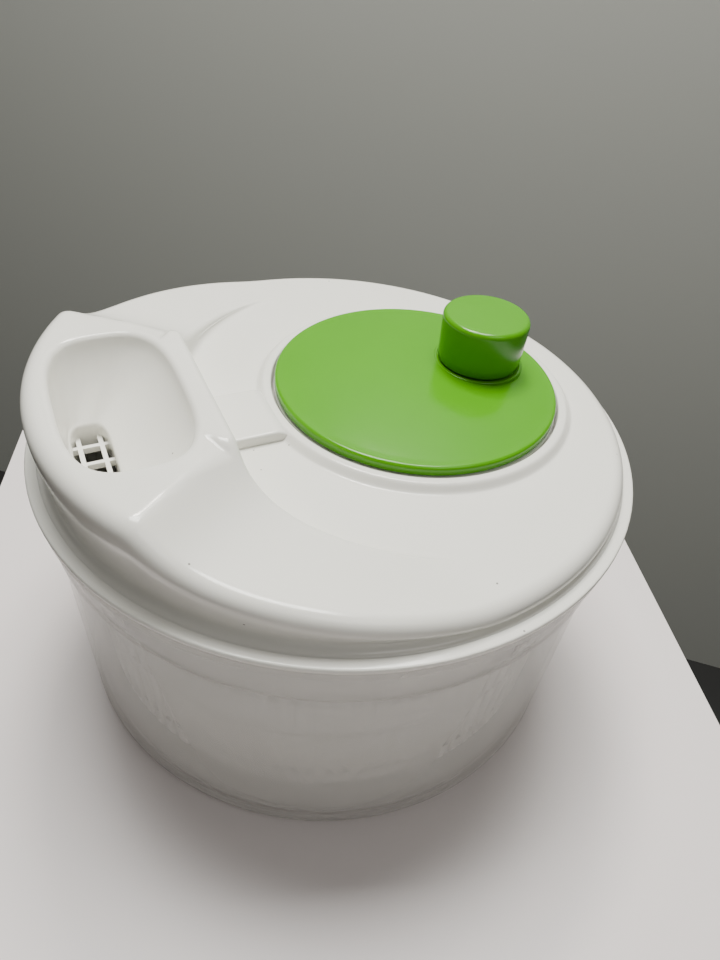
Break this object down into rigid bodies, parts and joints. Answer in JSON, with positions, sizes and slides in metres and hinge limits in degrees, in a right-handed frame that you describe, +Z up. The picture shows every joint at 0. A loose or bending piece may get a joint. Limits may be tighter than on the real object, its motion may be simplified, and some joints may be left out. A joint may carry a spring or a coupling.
{
  "type": "salad spinner",
  "caption": "Hand-cranked salad spinner: a slotted basket turns in a clear bowl under a geared lid with a pouring funnel.",
  "frame": {"origin": "centre of the surface the bowl stands on, on the bowl's axis", "axes": "+Z up along the bowl's axis, +X from the lid's axis to the crank disc's axis, funnel on the -X side"},
  "size_m": [0.25, 0.25, 0.1662],
  "materials": {
    "clear_plastic": "translucent milky plastic",
    "white_plastic": "gloss",
    "green_plastic": "gloss",
    "bearing_plastic": "satin",
    "screw_steel": "bright zinc"
  },
  "bodies": {
    "bowl": {"bowl": "clear_plastic"},
    "bearing": {"basket_bearing": "bearing_plastic"},
    "basket": {"basket": "white_plastic"},
    "lid": {"lid_shell": "white_plastic", "lid_tray": "white_plastic", "lid_screws": "screw_steel", "funnel_grid": "white_plastic", "spindle_bush": "bearing_plastic", "crank_bush": "bearing_plastic"},
    "crank": {"crank_disc": "green_plastic", "ring_gear": "white_plastic", "ring_gear_screws": "screw_steel", "crank_washer": "screw_steel", "crank_screw": "screw_steel"},
    "knob": {"crank_knob": "green_plastic", "knob_washer": "screw_steel", "knob_screw": "screw_steel"},
    "driver": {"pinion_gear": "bearing_plastic", "basket_driver": "white_plastic", "spindle_washer": "screw_steel", "spindle_screw": "screw_steel"}
  },
  "joints": [
    {"name": "lid_lift", "type": "slide", "parent": "bowl", "child": "lid", "axis": [0, 0, 1], "range_m": [0, 0.26]},
    {"name": "crank_spin", "type": "hinge", "parent": "lid", "child": "crank", "pos_m": [0.036, 0, 0.13], "axis": [0, 0, 1], "continuous": true},
    {"name": "knob_spin", "type": "hinge", "parent": "crank", "child": "knob", "pos_m": [0.067, 0, 0.15], "axis": [0, 0, 1], "continuous": true},
    {"name": "driver_spin", "type": "hinge", "parent": "lid", "child": "driver", "pos_m": [0, 0, 0.12], "axis": [0, 0, 1], "continuous": true},
    {"name": "basket_spin", "type": "hinge", "parent": "bowl", "child": "bearing", "pos_m": [0, 0, 0.02], "axis": [0, 0, 1], "continuous": true},
    {"name": "basket_lift", "type": "slide", "parent": "bearing", "child": "basket", "axis": [0, 0, 1], "range_m": [0, 0.13]}
  ],
  "couplings": [
    {"joint": "driver_spin", "follows": "crank_spin", "ratio": 3.4},
    {"joint": "basket_spin", "follows": "crank_spin", "ratio": 3.4},
    {"joint": "basket_lift", "follows": "lid_lift", "ratio": 0.5}
  ]
}
